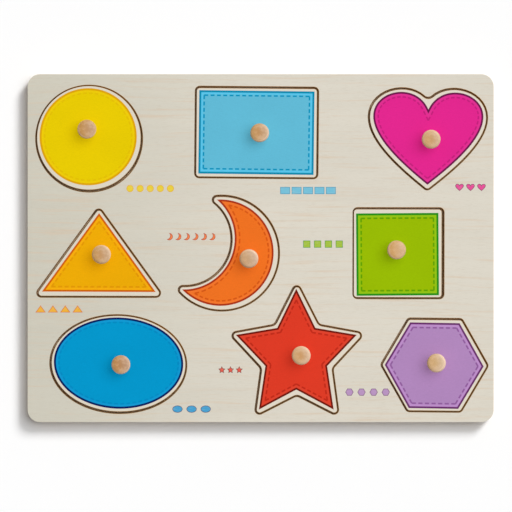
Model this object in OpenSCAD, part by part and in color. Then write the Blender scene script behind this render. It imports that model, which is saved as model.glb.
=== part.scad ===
// Peg puzzle: a flat board whose top sheet is cut into nine shaped windows, with a piece lying in each.
// Every piece is lifted straight up by a small turned wooden peg, which a screw holds from below.
// The origin is the middle of the underside, +X runs along the length and +Z points up. Sizes are in mm.

/* [Board] */
// Length of the board
board_l = 300; // [280:1:330]
// Width of the board
board_w = 224; // [210:1:250]
// Radius of the board's four corners
board_corner_r = 8; // [2:0.5:14]
// Thickness of the cut top sheet, and so of the pieces cut from it
sheet_t = 5; // [4:0.25:8]
// Thickness of the backing sheet glued under it
backing_t = 3; // [2:0.25:6]

/* [Cutting] */
// Bare wood left outside each printed shape on its piece
border = 2.2; // [1.5:0.05:3]
// Gap all round a piece that lies in the middle of its window
fit_gap = 0.7; // [0.4:0.05:1]
// Least gap that is left where a resting piece lies to one side
rest_gap = 0.3; // [0.1:0.05:0.35]
// Radius of a piece's corners that point inwards
inner_corner_r = 4.5; // [1:0.25:6]

/* [Printed shapes] */
// Diameter of the circle
circle_d = 62.9; // [56:0.1:66]
// Length of the rectangle
rectangle_l = 73.5; // [66:0.1:80]
// Width of the rectangle
rectangle_w = 53.1; // [46:0.1:58]
// Width of the heart across its lobes
heart_w = 71; // [64:0.1:74]
// Height of the heart from its tip to the top of its lobes
heart_h = 59.6; // [54:0.1:64]
// Length of the triangle's base
triangle_w = 73.8; // [66:0.1:78]
// Height of the triangle
triangle_h = 51; // [44:0.1:56]
// Radius of the crescent's outer arc
crescent_r = 34.4; // [31:0.1:37]
// Radius of the crescent's hollow arc
hollow_r = 32.7; // [31:0.1:35]
// Distance between the centres of the crescent's two arcs
hollow_shift = 25.4; // [23:0.1:28]
// Side of the square
square_s = 52.7; // [46:0.1:58]
// Length of the ellipse
ellipse_l = 82.3; // [74:0.1:88]
// Width of the ellipse
ellipse_w = 57.7; // [52:0.1:62]
// Width of the star across its two side points
star_w = 77.6; // [70:0.1:82]
// Height of the star from its lower points to its top point
star_h = 76.9; // [70:0.1:81]
// Distance across the hexagon's flats
hexagon_w = 54.5; // [48:0.1:60]

/* [Pegs] */
// Height of a peg above its piece
peg_h = 11; // [9:0.25:16]
// Diameter of the peg's head
peg_head_d = 12.1; // [10:0.1:15]
// Diameter of the peg's waist
peg_waist_d = 6.6; // [6:0.1:8]
// Diameter of the peg's foot
peg_foot_d = 8.8; // [8:0.1:10]
// Thickness of the foot's straight rim
peg_foot_t = 1; // [0.5:0.1:2]

/* [Screws] */
// Diameter of the screw
screw_d = 3; // [2.5:0.1:3.5]
// Length of the screw with its head
screw_l = 12; // [10:0.25:14]
// Diameter of the screw's countersunk head
screw_head_d = 5.6; // [5:0.1:6.5]
// Thickness of the screw's head
screw_head_t = 1.7; // [1.4:0.1:2]
// Play round the screw in its piece
screw_play = 0.1; // [0.05:0.05:0.2]

/* [Hidden] */
SHAPES = ["circle", "rectangle", "heart", "triangle", "crescent", "square", "ellipse", "star", "hexagon"];

// Colour printed on each piece
PRINT_COLOURS = [
    "gold", "skyblue", "deeppink", "orange", "darkorange", "yellowgreen", "deepskyblue", "orangered", "mediumpurple"
];
// Tone of each peg's wood
PEG_COLOURS = [
    "tan", "burlywood", "wheat", "burlywood", "antiquewhite", "burlywood", "sandybrown", "wheat", "moccasin"
];

// Middle of each window, as shares of the board's length and width
place_shares = [
    [-0.3683, 0.3151], [-0.0089, 0.3327], [0.3581, 0.3137],
    [-0.3477, -0.014], [-0.0842, -0.0138], [0.2955, -0.0142],
    [-0.3057, -0.3328], [0.0772, -0.3104], [0.3728, -0.3358]
];
// Small turn of each window on the board, in degrees anticlockwise
window_turns = [0, -0.5, -0.6, -0.1, 0.3, -0.1, -1.8, 0, -0.6];
// Where each piece has come to rest in its window, as shares of its play
rest_shares = [
    [0, 0.9], [0.3, -0.7], [0.7, -0.6],
    [0.7, -0.6], [0.6, -0.7], [-0.8, -0.5],
    [0.8, 0.3], [0.7, -0.3], [0.6, -0.7]
];
// Place of each peg from the middle of its piece, as shares of the printed shape's length and width
peg_shares = [
    [-0.016, 0.085], [0.026, -0.005], [0.023, -0.003],
    [0.025, -0.014], [0.254, -0.05], [-0.022, 0.042],
    [0.021, -0.005], [0.033, 0.01], [0.01, 0.033]
];

// Length and width of each printed shape, in the order of SHAPES
shape_sizes = [
    [circle_d, circle_d], [rectangle_l, rectangle_w], [heart_w, heart_h],
    [triangle_w, triangle_h], [crescent_r * 2, crescent_r * 2], [square_s, square_s],
    [ellipse_l, ellipse_w], [star_w, star_h], [hexagon_w / cos(30), hexagon_w]
];

// The shapes shrink together where a row of three, or a column, would take more than these shares of the board
row_share = 0.75;
column_share = 0.89;
row_l = max([for (i = [0, 3, 6]) shape_sizes[i].x + shape_sizes[i + 1].x + shape_sizes[i + 2].x]);
column_w = max([for (i = [0, 1, 2]) shape_sizes[i].y + shape_sizes[i + 3].y + shape_sizes[i + 6].y]);
shape_scale = min(1, board_l * row_share / row_l, board_w * column_share / column_w);

// Points round a full curve, and along one short curve
curve_steps = 120;
bend_steps = 16;
// Turn above which a corner is rounded when an outline grows, and the turn of one step of that rounding
corner_turn = 12;
corner_step = 9;

// Direction from the crescent's middle to the middle of its hollow, in degrees
hollow_turn = 159;
// Radius of the star's inner corners, as a share of that of its points
star_inner_share = 0.522;
// Heart, from its tip: widest point, cleft and the handles of its curves, as shares of its width and height
heart_wide_share = 0.737;
heart_cleft_share = 0.835;
heart_lobe_handle_shares = [0.111, 1.115];
heart_side_handle_share = 1.021;
heart_flank_handle_share = 0.48;
heart_tip_handle_shares = [0.187, 0.176];

// Play of a piece in its window, to each side, beyond the least gap
rest_play = fit_gap - rest_gap;
// How far cutting shapes reach past the face that they open
overrun = sheet_t / 10;

// Peg: heights of its waist and of its head's widest part, and the roundness of its curves
peg_waist_z_share = 0.34;
peg_head_z_share = 0.8;
peg_cove_shares = [0.1, 0.35];
peg_flare_shares = [0.55, 0.4];
peg_crown_shares = [0.75, 0.86];
peg_waist_z = peg_h * peg_waist_z_share;
peg_head_z = peg_h * peg_head_z_share;

// Screw: its head lies just inside the piece's underside, and its threads fill the peg's pilot hole
screw_head_depth = 0.2;
thread_fit = 0.02;
pilot_spare = 0.8;
screw_tip_l = 2.4;
screw_tip_r = 0.3;
drive_l = 3.2;
drive_w = 0.8;
drive_depth = 1;
round_faces = 64;

// Point at radius r and angle a
function polar(r, a) = [r * cos(a), r * sin(a)];

// Angle of a direction
function heading(v) = atan2(v.y, v.x);

// Angle brought between -180 and 180 degrees
function wrapped(a) = a - 360 * round(a / 360);

// Points on an arc about centre c, both ends included
function arc(c, r, a0, a1, steps) = [for (k = [0 : steps]) c + polar(r, a0 + (a1 - a0) * k / steps)];

// Points on a cubic curve from a to d with handles b and c, both ends included
function bend(a, b, c, d, steps = bend_steps) = [
    for (k = [0 : steps])
        let (t = k / steps, u = 1 - t)
        a * pow(u, 3) + b * 3 * u * u * t + c * 3 * u * t * t + d * pow(t, 3)
];

// All points but the first
function rest_of(points) = [for (k = [1 : len(points) - 1]) points[k]];

// Outline moved outwards by reach, or inwards if that is negative. The corners that it opens become arcs, and
// those that it closes stay sharp.
function grown(points, reach) = [
    for (i = [0 : len(points) - 1])
        let (
            here = points[i],
            along = here - points[(i + len(points) - 1) % len(points)],
            onward = points[(i + 1) % len(points)] - here,
            turn = wrapped(heading(onward) - heading(along)),
            first = heading(along) - 90,
            steps = turn * sign(reach) > corner_turn ? ceil(abs(turn) / corner_step) : 0
        )
        each steps > 0
            ? [for (k = [0 : steps]) here + polar(reach, first + turn * k / steps)]
            : [here + polar(reach / cos(turn / 2), first + turn / 2)]
];

// Part of an outline to the right of the Y axis, cut exactly at the axis
function right_part(points) = [
    for (i = [0 : len(points) - 1])
        let (here = points[i], next = points[(i + 1) % len(points)])
        each concat(
            here.x > 0 ? [here] : [],
            here.x * next.x < 0 ? [here + (next - here) * here.x / (here.x - next.x)] : []
        )
];

// Right part of an outline joined to its mirror image in the Y axis
function both_sides(right) = concat(
    right,
    [for (k = [len(right) - 2 : -1 : 1]) [-right[k].x, right[k].y]]
);

// Oval of length l and width w
function oval_points(l, w) = [
    for (k = [0 : curve_steps - 1]) [l / 2 * cos(360 * k / curve_steps), w / 2 * sin(360 * k / curve_steps)]
];

// Rectangle of length l and width w
function box_points(l, w) = [[-l / 2, -w / 2], [l / 2, -w / 2], [l / 2, w / 2], [-l / 2, w / 2]];

// Right half of the heart: its flank from the tip to the widest point, then the lobe to the cleft
function half_heart_points() =
    let (
        half = heart_w / 2,
        base = -heart_h / 2,
        tip = [0, base],
        wide = [half, base + heart_h * heart_wide_share],
        cleft = [0, base + heart_h * heart_cleft_share],
        tip_handle = [heart_w * heart_tip_handle_shares.x, base + heart_h * heart_tip_handle_shares.y],
        flank_handle = [half, base + heart_h * heart_flank_handle_share],
        side_handle = [half, base + heart_h * heart_side_handle_share],
        lobe_handle = [heart_w * heart_lobe_handle_shares.x, base + heart_h * heart_lobe_handle_shares.y]
    )
    concat(
        bend(tip, tip_handle, flank_handle, wide),
        rest_of(bend(wide, side_handle, lobe_handle, cleft))
    );

// Triangle standing on its base
function triangle_points() = [
    [-triangle_w / 2, -triangle_h / 2], [triangle_w / 2, -triangle_h / 2], [0, triangle_h / 2]
];

// Crescent about the centre of its outer arc: that arc from one tip to the other, then the hollow arc back
function crescent_points() =
    let (
        mid = (hollow_shift * hollow_shift + crescent_r * crescent_r - hollow_r * hollow_r) / (2 * hollow_shift),
        outer_half = acos(mid / crescent_r),
        hollow_half = acos((hollow_shift - mid) / hollow_r),
        outer = arc([0, 0], crescent_r, hollow_turn + outer_half, hollow_turn + 360 - outer_half, curve_steps / 2),
        hollow = arc(
            polar(hollow_shift, hollow_turn), hollow_r,
            hollow_turn + 180 + hollow_half, hollow_turn + 180 - hollow_half, curve_steps / 3
        )
    )
    concat(outer, [for (k = [1 : len(hollow) - 2]) hollow[k]]);

// Five-pointed star, a little narrower than a regular one
function star_points() =
    let (point_x = star_w / 2 / cos(18), point_y = star_h / (1 + cos(36)))
    [
        for (k = [0 : 9])
            let (p = polar(k % 2 == 0 ? 1 : star_inner_share, 90 + 36 * k))
            [p.x * point_x, p.y * point_y]
    ];

// Hexagon with two flats along X
function hexagon_points() = [for (k = [0 : 5]) polar(hexagon_w / 2 / cos(30), 60 * k)];

// Outline of printed shape i in SHAPES, and for the heart that of its right half
function printed(i) =
    shape_scale * (
        i == 0 ? oval_points(circle_d, circle_d)
        : i == 1 ? box_points(rectangle_l, rectangle_w)
        : i == 2 ? half_heart_points()
        : i == 3 ? triangle_points()
        : i == 4 ? crescent_points()
        : i == 5 ? box_points(square_s, square_s)
        : i == 6 ? oval_points(ellipse_l, ellipse_w)
        : i == 7 ? star_points()
        : hexagon_points()
    );

// Outline that a cut follows, the given reach outside printed shape i. It is grown too far and then drawn back,
// which rounds the corners that point inwards.
function outline(i, reach) =
    let (far = border + inner_corner_r, wide = grown(printed(i), far))
    grown(SHAPES[i] == "heart" ? both_sides(right_part(wide)) : wide, reach - far);

// Middle of window i on the board
function place(i) = [place_shares[i].x * board_l, place_shares[i].y * board_w, backing_t];

// Place of peg i from the middle of its piece
function peg_place(i) =
    shape_scale * [peg_shares[i].x * shape_sizes[i].x, peg_shares[i].y * shape_sizes[i].y];

// Children in the frame of window i
module in_window(i) {
    translate(place(i)) rotate(window_turns[i]) children();
}

// Children in the frame of piece i, where it has come to rest
module on_piece(i) {
    translate([rest_shares[i].x * rest_play, rest_shares[i].y * rest_play]) in_window(i) children();
}

// Sheet with the board's outline
module board_sheet(thickness) {
    inner = box_points(board_l - 2 * board_corner_r, board_w - 2 * board_corner_r);
    linear_extrude(thickness) polygon(grown(inner, board_corner_r));
}

// Plain plywood sheet that closes the windows from below
module backing_board() {
    color("burlywood") board_sheet(backing_t);
}

// Top sheet with a window for each piece
module frame_board() {
    color("antiquewhite") difference() {
        translate([0, 0, backing_t]) board_sheet(sheet_t);
        for (i = [0 : len(SHAPES) - 1])
            in_window(i)
                translate([0, 0, -overrun])
                    linear_extrude(sheet_t + 2 * overrun) polygon(outline(i, border + fit_gap));
    }
}

// Piece cut from the top sheet, with its screw hole countersunk from below
module shape_piece(i) {
    color(PRINT_COLOURS[i]) on_piece(i) difference() {
        linear_extrude(sheet_t) polygon(outline(i, border));
        translate(peg_place(i)) screw_hole();
    }
}

// Hole that a countersunk screw needs through a piece, as a solid to cut with
module screw_hole() {
    hole_r = screw_d / 2 + screw_play;
    sink_r = screw_head_d / 2 + screw_play;
    rotate_extrude($fn = round_faces) polygon([
        [0, -overrun],
        [sink_r, -overrun],
        [sink_r, screw_head_depth],
        [hole_r, screw_head_depth + screw_head_t],
        [hole_r, sheet_t + overrun],
        [0, sheet_t + overrun]
    ]);
}

// Turned peg: a foot, a hollow waist and a domed head
module shape_peg(i) {
    foot_r = peg_foot_d / 2;
    waist_r = peg_waist_d / 2;
    head_r = peg_head_d / 2;
    waist_rise = peg_waist_z - peg_foot_t;
    flare_rise = peg_head_z - peg_waist_z;
    crown_rise = peg_h - peg_head_z;
    profile = concat(
        [[0, 0], [foot_r, 0]],
        bend(
            [foot_r, peg_foot_t],
            [waist_r + (foot_r - waist_r) * peg_cove_shares.x, peg_foot_t + waist_rise * peg_cove_shares.x],
            [waist_r, peg_foot_t + waist_rise * peg_cove_shares.y],
            [waist_r, peg_waist_z],
            bend_steps / 2
        ),
        rest_of(bend(
            [waist_r, peg_waist_z],
            [waist_r, peg_waist_z + flare_rise * peg_flare_shares.x],
            [head_r, peg_head_z - flare_rise * peg_flare_shares.y],
            [head_r, peg_head_z],
            bend_steps / 2
        )),
        rest_of(bend(
            [head_r, peg_head_z],
            [head_r, peg_head_z + crown_rise * peg_crown_shares.x],
            [head_r * peg_crown_shares.y, peg_h],
            [0, peg_h]
        ))
    );
    pilot_r = screw_d / 2 + thread_fit;
    pilot_depth = screw_head_depth + screw_l - sheet_t + pilot_spare;
    color(PEG_COLOURS[i]) on_piece(i) translate(peg_place(i)) translate([0, 0, sheet_t]) difference() {
        rotate_extrude($fn = round_faces) polygon(profile);
        translate([0, 0, -overrun])
            cylinder(h = overrun + pilot_depth, r = pilot_r, $fn = round_faces);
    }
}

// Countersunk wood screw with a cross drive, driven up through the piece into its peg
module shape_screw(i) {
    screw_r = screw_d / 2;
    profile = [
        [0, 0],
        [screw_head_d / 2, 0],
        [screw_r, screw_head_t],
        [screw_r, screw_l - screw_tip_l],
        [screw_tip_r, screw_l],
        [0, screw_l]
    ];
    color("silver") on_piece(i) translate(peg_place(i)) translate([0, 0, screw_head_depth]) difference() {
        rotate_extrude($fn = round_faces) polygon(profile);
        for (a = [45, 135])
            rotate(a) translate([-drive_l / 2, -drive_w / 2, -overrun])
                cube([drive_l, drive_w, overrun + drive_depth]);
    }
}

backing_board();
frame_board();
for (i = [0 : len(SHAPES) - 1]) {
    shape_piece(i);
    shape_peg(i);
    shape_screw(i);
}
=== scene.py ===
import math

import bpy
import numpy as np
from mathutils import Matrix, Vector


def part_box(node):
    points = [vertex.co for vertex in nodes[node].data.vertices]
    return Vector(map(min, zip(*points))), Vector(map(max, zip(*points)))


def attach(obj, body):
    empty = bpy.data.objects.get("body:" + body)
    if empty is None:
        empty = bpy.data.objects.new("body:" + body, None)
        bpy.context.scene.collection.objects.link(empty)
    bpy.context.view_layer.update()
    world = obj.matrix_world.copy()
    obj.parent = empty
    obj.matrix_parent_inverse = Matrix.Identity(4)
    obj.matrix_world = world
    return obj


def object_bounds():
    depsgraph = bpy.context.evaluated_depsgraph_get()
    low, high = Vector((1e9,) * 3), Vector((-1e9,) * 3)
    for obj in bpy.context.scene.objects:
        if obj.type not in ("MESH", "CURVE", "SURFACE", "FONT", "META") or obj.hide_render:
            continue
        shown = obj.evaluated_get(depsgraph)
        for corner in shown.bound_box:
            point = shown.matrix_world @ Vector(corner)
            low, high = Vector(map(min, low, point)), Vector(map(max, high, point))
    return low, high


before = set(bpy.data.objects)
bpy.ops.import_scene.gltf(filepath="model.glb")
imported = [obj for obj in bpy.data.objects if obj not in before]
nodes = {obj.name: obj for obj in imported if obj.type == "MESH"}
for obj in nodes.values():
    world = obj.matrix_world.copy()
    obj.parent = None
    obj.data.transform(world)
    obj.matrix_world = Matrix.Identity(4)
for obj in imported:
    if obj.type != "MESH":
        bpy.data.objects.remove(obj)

cad_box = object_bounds()
face_z = float(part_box("frame_board")[1][2])

camera_rise = 2.5
view_w = 0.3296
view_middle = (-0.00299, -0.00505)
sensor_mm = 36

camera = bpy.data.objects.new("camera", bpy.data.cameras.new("camera"))
camera.data.sensor_width = sensor_mm
camera.data.lens = sensor_mm * camera_rise / view_w
camera.location = (*view_middle, face_z + camera_rise)
bpy.context.scene.collection.objects.link(camera)
bpy.context.scene.camera = camera
bpy.context.scene.view_settings.view_transform = "Standard"


# ---- The table top and the light ----
# The board lies on a plain white table. Two broad soft lamps shine from the upper right: a low one that throws
# the board's shadow on the table but none of the pegs', and a high one. Pale light from all round fills in.
class Tone:
    """A socket in a node tree. Sums, differences, products and quotients of tones add their Math nodes."""

    def __init__(self, tree, socket=None):
        self.tree, self.socket = tree, socket

    def node(self, kind, settings=None, sockets=None, output=0):
        """A new node of that kind: its settings are made first, then the values or links of its sockets."""
        made = self.tree.nodes.new("ShaderNode" + kind)
        for key, value in (settings or {}).items():
            setattr(made, key, value)
        for key, value in (sockets or {}).items():
            if isinstance(value, Tone):
                self.tree.links.new(value.socket, made.inputs[key])
            else:
                made.inputs[key].default_value = value
        return Tone(self.tree, made.outputs[output])

    def maths(self, operation, *others):
        """A Math node with this tone first and the others after it."""
        return self.node("Math", {"operation": operation}, dict(enumerate((self, *others))))

    def __add__(self, other):
        return self.maths("ADD", other)

    def __sub__(self, other):
        return self.maths("SUBTRACT", other)

    def __rsub__(self, other):
        return self.maths("MULTIPLY_ADD", -1.0, other)

    def __mul__(self, other):
        return self.maths("MULTIPLY", other)

    def __truediv__(self, other):
        return self.maths("DIVIDE", other)

    def __abs__(self):
        return self.maths("ABSOLUTE")

    __radd__, __rmul__ = __add__, __mul__

    def above(self, low, high):
        """0 at low and 1 at high, or the other way round, with a smooth slope between."""
        return self.node(
            "MapRange", {"interpolation_type": "SMOOTHSTEP"}, {"Value": self, "From Min": low, "From Max": high}
        )

    def parts(self):
        """The three parts of a vector."""
        split = self.node("SeparateXYZ", None, {0: self})
        return [Tone(self.tree, socket) for socket in split.socket.node.outputs]

    def moved(self, offset, stretch):
        """The vector less an offset, times a stretch along each axis."""
        less = self.node("VectorMath", {"operation": "SUBTRACT"}, {0: self, 1: offset})
        return self.node("VectorMath", {"operation": "MULTIPLY"}, {0: less, 1: stretch})

    def noise(self, scale=1.0, detail=2.0, roughness=0.5):
        """Soft noise between 0 and 1 at this vector."""
        return self.node(
            "TexNoise", None, {"Vector": self, "Scale": scale, "Detail": detail, "Roughness": roughness}
        )

    def blend(self, first, second):
        """The first colour where this tone is 0, the second where it is 1."""
        return self.node("Mix", {"data_type": "RGBA"}, {0: self, 6: first, 7: second}, output=2)

    def scaled(self, amount):
        """The colour times an amount."""
        return self.node("VectorMath", {"operation": "SCALE"}, {0: self, "Scale": amount})

    def bumps(self, depth):
        """A normal that rises by depth metres where this tone is 1."""
        return self.node("Bump", None, {"Height": self, "Distance": depth, "Strength": 1.0})


def colour(red, green, blue):
    """A colour as a screen shows it, 0 to 255, turned into amounts of light."""
    screen = np.array([red, green, blue]) / 255
    light = np.where(screen < 0.04045, screen / 12.92, ((screen + 0.055) / 1.055) ** 2.4)
    return (*light.tolist(), 1.0)


def material(name, look):
    """A material. look gets its Object coordinates and returns the values or links of the shader's sockets."""
    made = bpy.data.materials.new(name)
    made.use_nodes = True
    shader = made.node_tree.nodes["Principled BSDF"]
    place = Tone(made.node_tree).node("TexCoord", output="Object")
    for key, value in look(place).items():
        if isinstance(value, Tone):
            made.node_tree.links.new(value.socket, shader.inputs[key])
        else:
            shader.inputs[key].default_value = value
    return made


def table_look(place):
    """Matt white laminate, with a very faint mottle."""
    mottle = place.noise(scale=9.0)
    return {
        "Base Color": mottle.blend(colour(253, 253, 253), colour(255, 255, 255)),
        "Roughness": 0.9,
        "Specular IOR Level": 0.0,
    }


table_half = 2.0
table = bpy.data.meshes.new("table_top")
table.from_pydata(
    [(x * table_half, y * table_half, cad_box[0][2]) for x, y in ((-1, -1), (1, -1), (1, 1), (-1, 1))],
    [],
    [(0, 1, 2, 3)],
)
table.materials.append(material("table_white", table_look))
table_top = bpy.data.objects.new("table_top", table)
bpy.context.scene.collection.objects.link(table_top)

# Height above the table, bearing from +X and width in the sky, in degrees, and share of the light on the table.
LAMPS = {
    "low_lamp": (35, 50, 20, 0.43),
    "high_lamp": (62, 34, 52, 0.37),
}
for name, (height, bearing, width, share) in LAMPS.items():
    height, bearing = math.radians(height), math.radians(bearing)
    lamp = bpy.data.lights.new(name, "SUN")
    lamp.energy = share * math.pi / math.sin(height)
    lamp.angle = math.radians(width)
    lamp_object = bpy.data.objects.new(name, lamp)
    towards = (math.cos(height) * math.cos(bearing), math.cos(height) * math.sin(bearing), math.sin(height))
    lamp_object.rotation_euler = Vector(towards).to_track_quat("Z", "Y").to_euler()
    bpy.context.scene.collection.objects.link(lamp_object)
room_share = 1 - sum(lamp[-1] for lamp in LAMPS.values())

flat_wood = bpy.data.collections.new("flat_wood")
for name, node in nodes.items():
    if name.endswith(("_board", "_piece")):
        flat_wood.objects.link(node)
bpy.data.objects["low_lamp"].light_linking.blocker_collection = flat_wood

room = bpy.context.scene.world or bpy.data.worlds.new("room")
bpy.context.scene.world = room
room.use_nodes = True
camera_ray, glossy_ray, clear_ray = (
    Tone(room.node_tree).node("LightPath", output="Is " + ray + " Ray") for ray in ("Camera", "Glossy", "Transmission")
)
seen = camera_ray.maths("MAXIMUM", glossy_ray.maths("MAXIMUM", clear_ray))
background = room.node_tree.nodes["Background"]
background.inputs["Color"].default_value = (1.0, 1.0, 1.0, 1.0)
room.node_tree.links.new((room_share + (1 - room_share) * seen).socket, background.inputs["Strength"])


# ---- The backing board ----
# A thin plain sheet of pale plywood, sawn to the board's outline and glued under the cut sheet. Inside the windows
# its top face is given a painted brown tint, for the light that the burnt walls bounce down into the narrow gaps.
wander_w = 0.007
pore_depth = 0.00002
backing_ply_t = 0.001


def streaks(place, seed):
    """Pale face veneer, and its pores: long thin tan streaks on a cream ground, with painted shade that makes it
    darker and greyer towards the left, and broad lighter and darker bands. The streaks run along X and wander a little
    from side to side."""
    wander = place.moved((seed, seed, seed), (9, 14, 14)).noise(detail=1.0) - 0.5
    sideways = place.node("CombineXYZ", None, {"Y": wander * wander_w})
    bent = place.node("VectorMath", {"operation": "ADD"}, {0: place, 1: sideways})
    fine = bent.moved((seed, seed, 0), (20, 520, 520)).noise(detail=3.0, roughness=0.6)
    soft = bent.moved((seed, seed, seed), (16, 300, 300)).noise(detail=1.0)
    broad = place.moved((seed, 0, seed), (7, 60, 60)).noise(detail=2.0)
    pores = place.moved((0, seed, seed), (260, 3200, 3200)).noise(detail=2.0)
    # Darker and greyer towards the left: painted shade, for light that falls from the right.
    painted_shade_cream = place.parts()[0].above(-0.16, 0.02).blend(colour(203, 199, 184), colour(217, 211, 197))
    ground = painted_shade_cream.scaled(0.977 + broad.above(0.3, 0.7) * 0.03 + soft.above(0.3, 0.7) * 0.016)
    streaked = (fine.above(0.5, 0.76) * 0.5).blend(ground, colour(213, 187, 157))
    return (pores.above(0.48, 0.85) * 0.34).blend(streaked, colour(186, 173, 152)), pores


def plies(place, base_z, ply_t):
    """Edge of plywood: layers one ply thick, pale and tan by turns, with short dark pores along them."""
    layer = (place.parts()[2] - base_z) / ply_t
    turn = layer.maths("PINGPONG", 1.0).above(0.42, 0.58)
    grain = place.moved((0, 0, 0), (300, 300, 2600)).noise(detail=3.0)
    sawn = turn.blend(colour(214, 192, 158), colour(182, 150, 112))
    return (grain.above(0.45, 0.75) * 0.45).blend(sawn, colour(146, 112, 78))


def facing_up(place):
    """1 on faces that look up or down, 0 on walls."""
    return abs(place.node("NewGeometry", output="Normal").parts()[2]).above(0.6, 0.8)


def on_top(place, top_z):
    """1 on the face at that height, 0 from half a millimetre below it down."""
    return (place.parts()[2] - top_z).above(-0.0005, -0.0001)


def backing_look(place):
    """Bare veneer with a painted brown tint on top for light bounced off the burnt walls, and three plies on its edge.
    """
    (_, _, low_z), (_, _, high_z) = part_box("backing_board")
    face, pores = streaks(place, 0.31)
    # Painted brown tint on the top face, for light bounced off the burnt walls.
    painted_bounce_top = (on_top(place, float(high_z)) * 0.6).blend(face, colour(224, 184, 126))
    return {
        "Base Color": facing_up(place).blend(plies(place, float(low_z), backing_ply_t), painted_bounce_top),
        "Roughness": 0.62,
        "Specular IOR Level": 0.3,
        "Normal": pores.bumps(pore_depth),
    }


def dress(node, finish):
    """Gives a CAD node one material in place of what it has."""
    nodes[node].data.materials.clear()
    nodes[node].data.materials.append(finish)


dress("backing_board", material("backing_ply", backing_look))


# ---- The frame board ----
# The top sheet of pale plywood with nine windows cut by laser. Its outer edge is sawn and sanded clean, and the
# walls of the windows are burnt brown.
frame_ply_t = 0.00125
frame_corner_r = 0.008


def burnt(place):
    """Wall left by the laser: brown, a little paler in narrow upright stripes."""
    stripes = place.moved((0, 0, 0), (1500, 1500, 60)).noise(detail=2.0)
    return stripes.above(0.3, 0.7).blend(colour(150, 102, 58), colour(190, 142, 88))


def frame_look(place):
    """Bare veneer. A wall is outer edge, with its plies, where it lies at the board's side or end or in the square
    that holds a rounded corner, and otherwise a burnt wall of a window."""
    face, pores = streaks(place, 0.0)
    x, y, _ = place.parts()
    (_, _, low_z), (high_x, high_y, _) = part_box("frame_board")
    from_side = abs(x) - (float(high_x) - frame_corner_r)
    from_end = abs(y) - (float(high_y) - frame_corner_r)
    at_rim = from_side.maths("MAXIMUM", from_end).above(frame_corner_r - 0.0004, frame_corner_r - 0.0002)
    in_corner = from_side.maths("MINIMUM", from_end).above(0.0, 0.0001)
    outer = at_rim.maths("MAXIMUM", in_corner)
    walls = outer.blend(burnt(place), plies(place, float(low_z), frame_ply_t))
    return {
        "Base Color": facing_up(place).blend(walls, face),
        "Roughness": 0.58,
        "Specular IOR Level": 0.3,
        "Normal": pores.bumps(pore_depth),
    }


dress("frame_board", material("frame_ply", frame_look))


# ---- The nine pieces ----
# Each piece is what the laser cut out of the top sheet: the same plywood, with burnt walls and a thin pale primer
# where it is to be printed.
SHAPES = ["circle", "rectangle", "heart", "triangle", "crescent", "square", "ellipse", "star", "hexagon"]
primed_pore_depth = 0.000015


def piece_look(place):
    """Veneer with a thin pale primer on top, and burnt walls."""
    face, pores = streaks(place, 0.17)
    primed = (on_top(place, face_z) * 0.6).blend(face, colour(226, 217, 200))
    return {
        "Base Color": facing_up(place).blend(burnt(place), primed),
        "Roughness": 0.55,
        "Specular IOR Level": 0.3,
        "Normal": pores.bumps(primed_pore_depth),
    }


piece_ply = material("piece_ply", piece_look)
for shape in SHAPES:
    dress(shape + "_piece", piece_ply)


# ---- The scorched rims ----
# The laser leaves a hair-thin brown rim on the face of the wood along both sides of every cut: a strip that follows
# the cut edge of its CAD node. The rims are widened on the lower-right side of each cut as painted shade, and drawn a
# warmer and paler brown towards the top as painted light.
rim_w = 0.0004
painted_shade_lean = 0.3
painted_shade_way = np.array([0.77, -0.64])
painted_light_way = np.array([0.25, 0.97])
rim_high = 0.000012
rim_low = -0.00002
mm_per_m = 1000
points_per_m = 1e7
level_within = 1e-6
doublings = 12


def top_edges(node, holes):
    """The cut edges of a node's top face, as the points and each one's next and previous point.

    A triangle's side is an edge where no other triangle has it the other way round. Each point's jump along its
    edge is doubled until it has passed every point of the loop, which finds the loop's lowest point number. The
    sum of cross products round a loop is twice its area, which is negative round a hole.
    """
    mesh = nodes[node].data
    mesh.calc_loop_triangles()
    points = np.empty(len(mesh.vertices) * 3)
    mesh.vertices.foreach_get("co", points)
    corners = np.empty(len(mesh.loop_triangles) * 3, dtype=int)
    mesh.loop_triangles.foreach_get("vertices", corners)
    whole = np.round(points.reshape(-1, 3) * points_per_m).astype(int)
    whole, number = np.unique(whole, axis=0, return_inverse=True)
    points = whole / points_per_m
    triangles = number.ravel()[corners].reshape(-1, 3)
    triangles = triangles[(points[triangles, 2] > points[:, 2].max() - level_within).all(1)]
    apart = (triangles != np.roll(triangles, -1, 1)).all(1)
    start, end = triangles[apart].ravel(), np.roll(triangles[apart], -1, 1).ravel()
    alone = ~np.isin(start * len(points) + end, end * len(points) + start)
    start, end = start[alone], end[alone]
    onward = np.arange(len(points))
    onward[start] = end
    loop, jump = np.arange(len(points)), onward
    for _ in range(doublings):
        loop, jump = np.minimum(loop, loop[jump]), jump[jump]
    here, there = points[start], points[end]
    cross = here[:, 0] * there[:, 1] - here[:, 1] * there[:, 0]
    twice_area = np.bincount(loop[start], cross, minlength=len(points))[loop[start]]
    start = start[twice_area < 0 if holes else twice_area == twice_area.max()]
    place_of = np.zeros(len(points), dtype=int)
    place_of[start] = np.arange(len(start))
    after = place_of[onward[start]]
    before = np.empty_like(after)
    before[after] = np.arange(len(after))
    return points[start], after, before


def add_piece(name, points, faces, body, finish, across):
    """A new mesh piece that rides on a body. across holds the UV of every face corner, in the faces' order."""
    mesh = bpy.data.meshes.new(name)
    mesh.from_pydata(points.tolist(), [], faces)
    line = mesh.uv_layers.new(name="line")
    line.uv.foreach_set("vector", np.ascontiguousarray(across, dtype=np.float32).ravel())
    mesh.materials.append(finish)
    piece = bpy.data.objects.new(name, mesh)
    bpy.context.scene.collection.objects.link(piece)
    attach(piece, body)
    return piece


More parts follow.
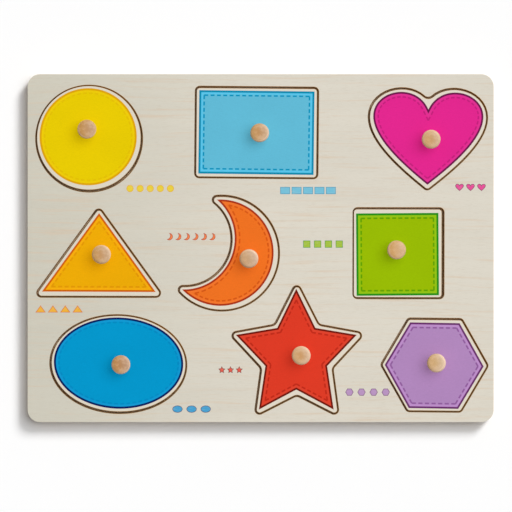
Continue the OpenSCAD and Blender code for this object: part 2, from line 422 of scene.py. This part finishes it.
def add_rim(name, node, holes, body):
    """A strip along a node's cut edges. A profile of four points, (0, low), (0, high), (w, high) and (w, low), is
    carried along them: across it is the sum of the two sides' left normals over 1 plus their dot product. The
    width w is rim_w times 1 plus a lean times how far that side faces the lower right, as painted shade. The UV
    holds how far it faces the top of the board, where the rim gets painted light, and the distance from the cut in mm."""
    points, after, before = top_edges(node, holes)
    step = (points[after] - points)[:, :2]
    left = np.stack([-step[:, 1], step[:, 0]], 1) / np.linalg.norm(step, axis=1)[:, None]
    inward = (left + left[before]) / (1 + (left * left[before]).sum(1))[:, None]
    outward = inward / np.linalg.norm(inward, axis=1)[:, None] * (1 if holes else -1)
    # Wider on the side of each cut that faces the lower right: painted shade.
    wide = rim_w * (1 + painted_shade_lean * (outward @ painted_shade_way))[:, None] * [0, 0, 1, 1]
    rise = np.array([rim_low, rim_high, rim_high, rim_low])
    grid = np.empty((len(points), 4, 3))
    grid[:, :, :2] = points[:, None, :2] + inward[:, None] * wide[:, :, None]
    grid[:, :, 2] = points[:, None, 2] + rise
    row, side = np.meshgrid(np.arange(len(points)), np.arange(4), indexing="ij")
    turn = (side + 1) % 4
    faces = np.stack([row * 4 + side, after[row] * 4 + side, after[row] * 4 + turn, row * 4 + turn], -1)
    width = wide.reshape(-1)[faces] * mm_per_m
    across = np.stack([(outward @ painted_light_way)[faces // 4], width], -1)
    return add_piece(name, grid.reshape(-1, 3), faces.reshape(-1, 4).tolist(), body, scorched, across)


def scorch_look(place):
    """Brown at the cut edge, fading to tan on the face, and a warmer, paler brown as painted light on the sides that
    face the top of the board.
    """
    painted_light_facing, across, _ = place.node("UVMap", {"uv_map": "line"}).parts()
    mottle = place.noise(scale=900.0)
    edge = mottle.above(0.3, 0.7).blend(colour(90, 60, 24), colour(126, 88, 42))
    # Warmer and paler on sides that face the top of the board: painted light.
    painted_light_edge = (painted_light_facing.above(0.3, 1.0) * 0.65).blend(edge, colour(168, 110, 36))
    return {
        "Base Color": across.above(0.2, rim_w * mm_per_m + 0.05).blend(painted_light_edge, colour(168, 132, 84)),
        "Roughness": 0.7,
        "Specular IOR Level": 0.2,
    }


scorched = material("scorched_edge", scorch_look)
add_rim("window_rims", "frame_board", True, "board")
for shape in SHAPES:
    add_rim(shape + "_rim", shape + "_piece", False, shape)


# ---- The printed shapes ----
# Each piece carries a flat colour print: a dark outline, a bright band, a dashed line like a row of stitches, and
# then the plain field. The ink lies in a thin film on the primed wood and the veneer's grain shows through.
ink_high = 0.00003
ink_low = -0.00003
ink_depths = np.array([0, 0.0012, 0.0021, 0.0029, 0.0038, 0.0047])
stitch_depth = 0.0032
stitch_pitch = 0.00415
stitch_share = 0.64
fade_mm = 0.09
fade_share = 0.03
overreach_share = 4
overreach_least = 1e-5
parallel = 1e-18


def turned(points, degrees):
    """Points turned anticlockwise about the origin."""
    c, s = math.cos(math.radians(degrees)), math.sin(math.radians(degrees))
    return points @ np.array([[c, s], [-s, c]])


def line(*points):
    """Straight sides from each point to the next, and back to the first."""
    ring = np.array(points, dtype=float)
    return [np.stack([ring[k - 1], ring[k]]) for k in range(len(ring))]


def arc(centre, radius, start, end, steps=60):
    """Points round a centre at a radius along X and along Y, from one angle to another, in degrees."""
    angle = np.radians(np.linspace(start, end, steps + 1))
    return np.array(centre) + np.stack([radius[0] * np.cos(angle), radius[1] * np.sin(angle)], 1)


def bend(a, b, c, d, steps=24):
    """A cubic curve from a to d with handles b and c: the four points weighted by the powers of t and 1 - t."""
    t = np.linspace(0, 1, steps + 1)[:, None]
    return a * (1 - t) ** 3 + 3 * b * t * (1 - t) ** 2 + 3 * c * t**2 * (1 - t) + d * t**3


def heart_sides(width, height):
    """The right side from the tip over the lobe to the cleft, made of two curves whose points are shares of the
    width and of the height from the tip, and its mirror image back."""

    def spot(x, y):
        return np.array([width * x, height * (y - 0.5)])

    right = np.concatenate([
        bend(spot(0, 0), spot(0.187, 0.176), spot(0.5, 0.48), spot(0.5, 0.737)),
        bend(spot(0.5, 0.737), spot(0.5, 1.021), spot(0.111, 1.115), spot(0, 0.812))[1:],
    ])
    return [right, right[::-1] * [-1, 1]]


def crescent_sides(outer, hollow, shift, bearing):
    """Two arcs between the tips, which lie where a circle about the origin meets one shifted along a bearing."""
    reach = (shift**2 + outer**2 - hollow**2) / (2 * shift)
    wide = math.degrees(math.acos(reach / outer))
    tight = math.degrees(math.acos((shift - reach) / hollow))
    middle = turned(np.array([[shift, 0]]), bearing)[0]
    return [
        arc((0, 0), (outer, outer), bearing + wide, bearing + 360 - wide, 90),
        arc(middle, (hollow, hollow), bearing + 180 + tight, bearing + 180 - tight, 60),
    ]


def star_sides(point_x, point_y, inner):
    """Ten points 36 degrees apart, the inner ones at a share of the outer ones' radius."""
    angle = np.radians(90 + 36 * np.arange(10))
    radius = np.where(np.arange(10) % 2 == 0, 1, inner)
    return line(*np.stack([radius * np.cos(angle) * point_x, radius * np.sin(angle) * point_y], 1))


def box_sides(length, width):
    """The four sides of a rectangle about the origin."""
    x, y = length / 2, width / 2
    return line((-x, -y), (x, -y), (x, y), (-x, y))


# Sides about the shape's own middle, its place on the board and its turn in degrees.
PRINTS = {
    "circle": ([arc((0, 0), (0.03128, 0.03128), 0, 360, 144)], (-0.11104, 0.07171), 0),
    "rectangle": (box_sides(0.07418, 0.0537), (-0.00272, 0.07444), -0.7),
    "heart": (heart_sides(0.07093, 0.05966), (0.10775, 0.07063), -0.77),
    "triangle": (line((-0.03663, -0.02533), (0.03663, -0.02533), (0, 0.02533)), (-0.1041, -0.00275), -0.24),
    "crescent": (crescent_sides(0.03423, 0.03287, 0.0254, 158.8), (-0.02588, -0.0029), 0),
    "square": (box_sides(0.053, 0.053), (0.0881, -0.00399), 0.4),
    "ellipse": ([arc((0, 0), (0.04165, 0.02935), 0, 360, 144)], (-0.09147, -0.07399), -1.98),
    "star": (star_sides(0.04096, 0.04303, 0.51), (0.02294, -0.06912), 0),
    "hexagon": (line(*arc((0, 0), (0.031847, 0.031847), 0, 300, 5)), (0.11172, -0.07562), -0.93),
}

# Outline, band, stitches and field.
INKS = {
    "circle": ((222, 165, 8), (238, 204, 6), (228, 192, 2), (232, 203, 0)),
    "rectangle": ((10, 138, 176), (90, 198, 234), (0, 146, 190), (98, 187, 215)),
    "heart": ((108, 22, 76), (226, 48, 146), (196, 32, 124), (227, 38, 143)),
    "triangle": ((208, 98, 8), (247, 174, 12), (226, 150, 2), (237, 171, 3)),
    "crescent": ((170, 52, 18), (243, 118, 44), (214, 88, 20), (239, 114, 33)),
    "square": ((36, 140, 22), (146, 196, 20), (96, 160, 0), (152, 187, 0)),
    "ellipse": ((4, 28, 92), (16, 152, 210), (0, 138, 194), (0, 151, 204)),
    "star": ((112, 22, 8), (222, 66, 44), (190, 42, 24), (222, 59, 37)),
    "hexagon": ((104, 48, 106), (190, 142, 202), (144, 94, 156), (177, 136, 189)),
}
WIDE_LINES = ["circle", "rectangle", "square", "ellipse"]


def offset_side(side, depth, reach):
    """A side moved to its left by depth and run on straight by reach at both ends."""
    along = np.gradient(side, axis=0)
    along /= np.linalg.norm(along, axis=1)[:, None]
    moved = side + np.stack([-along[:, 1], along[:, 0]], 1) * depth
    return np.concatenate([moved[:1] - along[:1] * reach, moved, moved[-1:] + along[-1:] * reach])


def crossing(first, second):
    """Where one line of points crosses another, as a place along each: solves for every pair of their steps, with
    parallel ones sent far off."""
    p, r = first[:-1, None], np.diff(first, axis=0)[:, None]
    q, s = second[None, :-1], np.diff(second, axis=0)[None]
    turn = r[..., 0] * s[..., 1] - r[..., 1] * s[..., 0]
    turn = np.where(abs(turn) < parallel, parallel, turn)
    gap = q - p
    t = (gap[..., 0] * s[..., 1] - gap[..., 1] * s[..., 0]) / turn
    u = (gap[..., 0] * r[..., 1] - gap[..., 1] * r[..., 0]) / turn
    miss = np.maximum(np.maximum(-t, t - 1), np.maximum(-u, u - 1))
    i, j = np.unravel_index(miss.argmin(), miss.shape)
    return i + t[i, j], j + u[i, j]


def overreach(depth):
    """How far each side runs on past its ends at that depth, so that it meets the next one."""
    return overreach_share * depth + overreach_least


def inset(sides, depth):
    """Rings of a shape drawn in by a depth: for each side its points, and their places along the side."""
    lines = [offset_side(side, depth, overreach(depth)) for side in sides]
    ends = [[1.0, len(side) + 0.0] for side in sides]
    if len(sides) > 1 and depth > 0:
        for k, here in enumerate(lines):
            onward = lines[(k + 1) % len(lines)]
            back = len(here) // 2
            at, to = crossing(here[back - 1 :], onward[: len(onward) // 2 + 1])
            ends[k][1] = at + back - 1
            ends[(k + 1) % len(lines)][0] = to
    rows = []
    for here, (start, end) in zip(lines, ends):
        place = np.linspace(start, end, len(here) - 2)
        index = np.arange(len(here))
        rows.append((np.stack([np.interp(place, index, here[:, k]) for k in (0, 1)], 1), place))
    return rows


def stitches_on(length, corners):
    """How many pitches of the row of stitches a side takes. One between corners ends with a stitch, with no gap."""
    spare = 1 - stitch_share if corners else 0
    return max(1, round(length / stitch_pitch + spare)) - spare


def film(sides, depths, seam_depth):
    """A thin closed film on a shape: rings of points at the depths, a wall down round the first ring, and a flat lid
    inside the last. Returns points, faces and the UV of each face corner: stitches along, counted on a seam at its
    own depth, and mm across."""
    rings = [inset(sides, depth) for depth in depths]
    seam = inset(sides, seam_depth)
    xy = np.stack([np.concatenate([points[:-1] for points, place in ring]) for ring in rings])
    starts, stops = [], []
    for k, side in enumerate(sides):
        run = np.concatenate([[0], np.linalg.norm(np.diff(side, axis=0), axis=1).cumsum()])

        def along(places, depth):
            known = np.concatenate([[-overreach(depth)], run, [run[-1] + overreach(depth)]])
            return np.interp(places, np.arange(len(known)), known)

        first, last = along(seam[k][1][[0, -1]], seam_depth)
        pitches = stitches_on(last - first, len(sides) > 1) / (last - first)
        table = np.stack([(along(ring[k][1], depth) - first) * pitches for ring, depth in zip(rings, depths)])
        starts.append(table[:, :-1])
        stops.append(table[:, 1:])
    start, stop = np.concatenate(starts, 1), np.concatenate(stops, 1)
    rows, around = xy.shape[:2]
    points = np.concatenate([
        np.concatenate([xy[:1], xy]).reshape(-1, 2),
        face_z + np.repeat([ink_low] + [ink_high] * rows, around)[:, None],
    ], 1)
    row, step = np.meshgrid(np.arange(rows), np.arange(around), indexing="ij")
    onward = (step + 1) % around
    ring = row * around
    quads = np.stack([ring + step, ring + onward, ring + around + onward, ring + around + step], -1)
    start, stop = np.concatenate([start[:1], start]), np.concatenate([stop[:1], stop])
    deep = np.concatenate([[0], depths])[:, None] * mm_per_m + np.zeros((1, around))
    across = np.stack([
        np.stack([start[:-1], deep[:-1]], -1), np.stack([stop[:-1], deep[:-1]], -1),
        np.stack([stop[1:], deep[1:]], -1), np.stack([start[1:], deep[1:]], -1),
    ], -2)
    lid = list(range(rows * around, (rows + 1) * around))
    floor = list(range(around))[::-1]
    flat = np.concatenate([
        across.reshape(-1, 2),
        np.stack([np.zeros(around), np.full(around, depths[-1] * mm_per_m)], 1),
        np.zeros((around, 2)),
    ])
    return points, quads.reshape(-1, 4).tolist() + [lid, floor], flat


def ink_look(shape):
    """Look of a print: the four inks by the distance from the edge and the place in the row of stitches."""
    outline, band, stitch, field = (colour(*ink) for ink in INKS[shape])
    line_mm = 1.3 if shape in WIDE_LINES else 1.2

    def look(place):
        along, across, _ = place.node("UVMap", {"uv_map": "line"}).parts()
        pores = place.moved((0.1, 0.2, 0.3), (260, 3000, 3000)).noise(detail=2.0)
        mottle = place.moved((0.5, 0.1, 0.0), (900, 1300, 900)).noise(detail=3.0)
        broad = place.moved((0.0, 0.4, 0.0), (30, 44, 30)).noise(detail=1.0)
        from_middle = abs(along.maths("FRACT") - stitch_share / 2)
        past_end = from_middle.above(stitch_share / 2 - fade_share, stitch_share / 2 + fade_share)
        beside = abs(across - stitch_depth * mm_per_m).above(0.4, 0.62)
        inner = across.above(2.3, 2.9).blend(band, field)
        sewn = ((1 - past_end) * (1 - beside)).blend(inner, stitch)
        ink = across.above(line_mm - fade_mm, line_mm + fade_mm).blend(outline, sewn)
        thin = pores.above(0.45, 0.85) * 0.06 + mottle.above(0.25, 0.8) * 0.05 + broad.above(0.3, 0.7) * 0.03
        return {
            "Base Color": ink.scaled(1.03 - thin),
            "Roughness": 0.6,
            "Specular IOR Level": 0.03,
            "Normal": (pores * 0.6 + mottle * 0.4).bumps(0.000012),
        }

    return look


for shape in SHAPES:
    sides, (x, y), turn = PRINTS[shape]
    points, faces, across = film(sides, ink_depths, stitch_depth)
    points[:, :2] = turned(points[:, :2], turn) + (x, y)
    add_piece(shape + "_print", points, faces, shape, material(shape + "_ink", ink_look(shape)), across)


# ---- The rows of small shapes ----
# Beside each window a short row of tiny copies of its shape is printed straight on the bare wood, in the same
# colour with a thin darker edge.
mark_high = 0.0046
mark_gap = 0.0016
mark_depths = np.array([0, 0.00035, 0.0006])

# Left end, right end and height on the board.
ROWS = {
    "circle": (-0.0864, -0.0558, 0.0384),
    "rectangle": (0.0126, 0.0484, 0.0371),
    "heart": (0.1253, 0.1449, 0.0391),
    "triangle": (-0.145, -0.1145, -0.0391),
    "crescent": (-0.0605, -0.0291, 0.0074),
    "square": (0.0274, 0.0529, 0.0026),
    "ellipse": (-0.0568, -0.0321, -0.1036),
    "star": (-0.0273, -0.0115, -0.0782),
    "hexagon": (0.0545, 0.0832, -0.0927),
}


def mark_look(shape):
    """Look of a row: the field's ink with an edge in the outline's, and the pale wood showing through."""
    outline, _, _, field = (colour(*ink) for ink in INKS[shape])

    def look(place):
        across = place.node("UVMap", {"uv_map": "line"}).parts()[1]
        pores = place.moved((0.3, 0.1, 0.3), (260, 3000, 3000)).noise(detail=2.0)
        edge = across.above(0.25, 0.5).blend(outline, field)
        return {
            "Base Color": (pores.above(0.45, 0.85) * 0.3 + 0.05).blend(edge, colour(222, 210, 190)),
            "Roughness": 0.6,
            "Specular IOR Level": 0.25,
        }

    return look


for shape in SHAPES:
    sides = PRINTS[shape][0]
    ring = np.concatenate(sides)
    shrink = mark_high / np.ptp(ring[:, 1])
    middle = (ring.max(0) + ring.min(0)) / 2
    small = [(side - middle) * shrink for side in sides]
    mark_l = np.ptp(ring[:, 0]) * shrink
    left, right, y = ROWS[shape]
    count = round((right - left + mark_gap) / (mark_l + mark_gap))
    points, faces, across = film(small, mark_depths, 0)
    centres = np.linspace(left + mark_l / 2, right - mark_l / 2, count)
    every = np.concatenate([points + (centre, y, 0) for centre in centres])
    faces = [[v + k * len(points) for v in face] for k in range(count) for face in faces]
    finish = material(shape + "_mark_ink", mark_look(shape))
    add_piece(shape + "_marks", every, faces, "board", finish, np.concatenate([across] * count))


# ---- The pegs ----
# Small knobs turned from beech and sanded, with end grain on top: faint growth rings round a darker pith, and a
# painted highlight round the rim. The wood is a little warmer to the left than to the right. The tops are drawn
# darker towards the board's top edge and paler towards its bottom edge, as painted light and shade. Long pores
# run up the sides.
rings_per_m = 2100
sapwood_share = 0.2
painted_light_share = 0.1

# Tone at the pith, tone towards the rim, and the pith's place from the peg's axis.
PEGS = {
    "circle": ((180, 132, 72), (184, 137, 75), (0.0004, 0.0006)),
    "rectangle": ((181, 128, 57), (194, 154, 103), (-0.0003, 0.0008)),
    "heart": ((196, 150, 89), (209, 171, 125), (0.0006, 0.0)),
    "triangle": ((189, 138, 74), (197, 156, 101), (0.0, 0.0)),
    "crescent": ((194, 157, 114), (205, 168, 134), (0.0, -0.0005)),
    "square": ((209, 166, 111), (202, 158, 99), (0.0009, 0.0004)),
    "ellipse": ((165, 112, 52), (175, 129, 79), (0.0, 0.0004)),
    "star": ((196, 142, 74), (216, 180, 138), (0.0002, 0.0)),
    "hexagon": ((204, 167, 108), (212, 180, 139), (-0.0008, 0.0006)),
}


def peg_look(shape):
    """Look of a peg: by the distance from its pith a tone that shifts, rings and a painted highlight at the rim, and
    over them pale blotches, a shift of tone from side to side, painted light and shade from top to bottom and dark
    pores."""
    pith_tone, rim_tone, pith = PEGS[shape]
    low, high = (np.array(corner, dtype=float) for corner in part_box(shape + "_peg"))
    centre = (low + high) / 2
    head_r = float(high[0] - low[0]) / 2

    def look(place):
        local = place.moved((centre[0] + pith[0], centre[1] + pith[1], low[2]), (1, 1, 1))
        x, y, _ = local.parts()
        from_pith = (x * x + y * y).maths("SQRT")
        wobble = local.moved((0, 0, 0), (260, 260, 40)).noise(detail=2.0)
        rings = (from_pith * rings_per_m + wobble * 3.0).maths("PINGPONG", 1.0).above(0.2, 0.9)
        pores = local.moved((0.2, 0.4, 0.1), (3200, 3200, 420)).noise(detail=3.0)
        blotch = local.moved((0.7, 0.3, 0.1), (420, 420, 160)).noise(detail=2.0)
        body = (from_pith / head_r).above(0.1, 0.95).blend(colour(*pith_tone), colour(*rim_tone))
        # Paler towards the rim: a painted highlight.
        painted_rim_highlight = ((from_pith / head_r).above(0.84, 0.97) * 0.6).blend(body, colour(246, 210, 176))
        ringed = (rings * 0.24).blend(painted_rim_highlight, colour(160, 110, 62))
        blotched = (blotch.above(0.4, 0.7) * 0.34).blend(ringed, colour(232, 196, 154))
        heart_side = (x / head_r).above(-0.9, 0.9).blend(colour(226, 164, 84), colour(188, 180, 184))
        grown = place.node("Mix", {"data_type": "RGBA"}, {0: sapwood_share, 6: blotched, 7: heart_side}, output=2)
        # Darker towards +Y and paler towards -Y: painted light and shade.
        painted_light_shade = grown.scaled(1 - (y / head_r) * painted_light_share)
        return {
            "Base Color": (pores.above(0.52, 0.8) * 0.3).blend(painted_light_shade, colour(142, 96, 54)),
            "Roughness": 0.48,
            "Specular IOR Level": 0.4,
            "Normal": pores.bumps(0.00003),
        }

    return look


for shape in SHAPES:
    dress(shape + "_peg", material(shape + "_peg_wood", peg_look(shape)))


# ---- The screws ----
# Zinc-plated countersunk screws, driven up into the pegs from under the pieces. Only their heads show, and only
# from below, once a piece is lifted.
def zinc_look(place):
    """Bright zinc with fine turning marks and a faint bluish mottle."""
    mottle = place.noise(scale=1200.0, detail=3.0)
    return {
        "Base Color": mottle.blend(colour(176, 180, 186), colour(214, 214, 208)),
        "Metallic": 1.0,
        "Roughness": mottle * 0.2 + 0.28,
        "Normal": mottle.bumps(0.00001),
    }


zinc = material("zinc_plate", zinc_look)
for shape in SHAPES:
    dress(shape + "_screw", zinc)
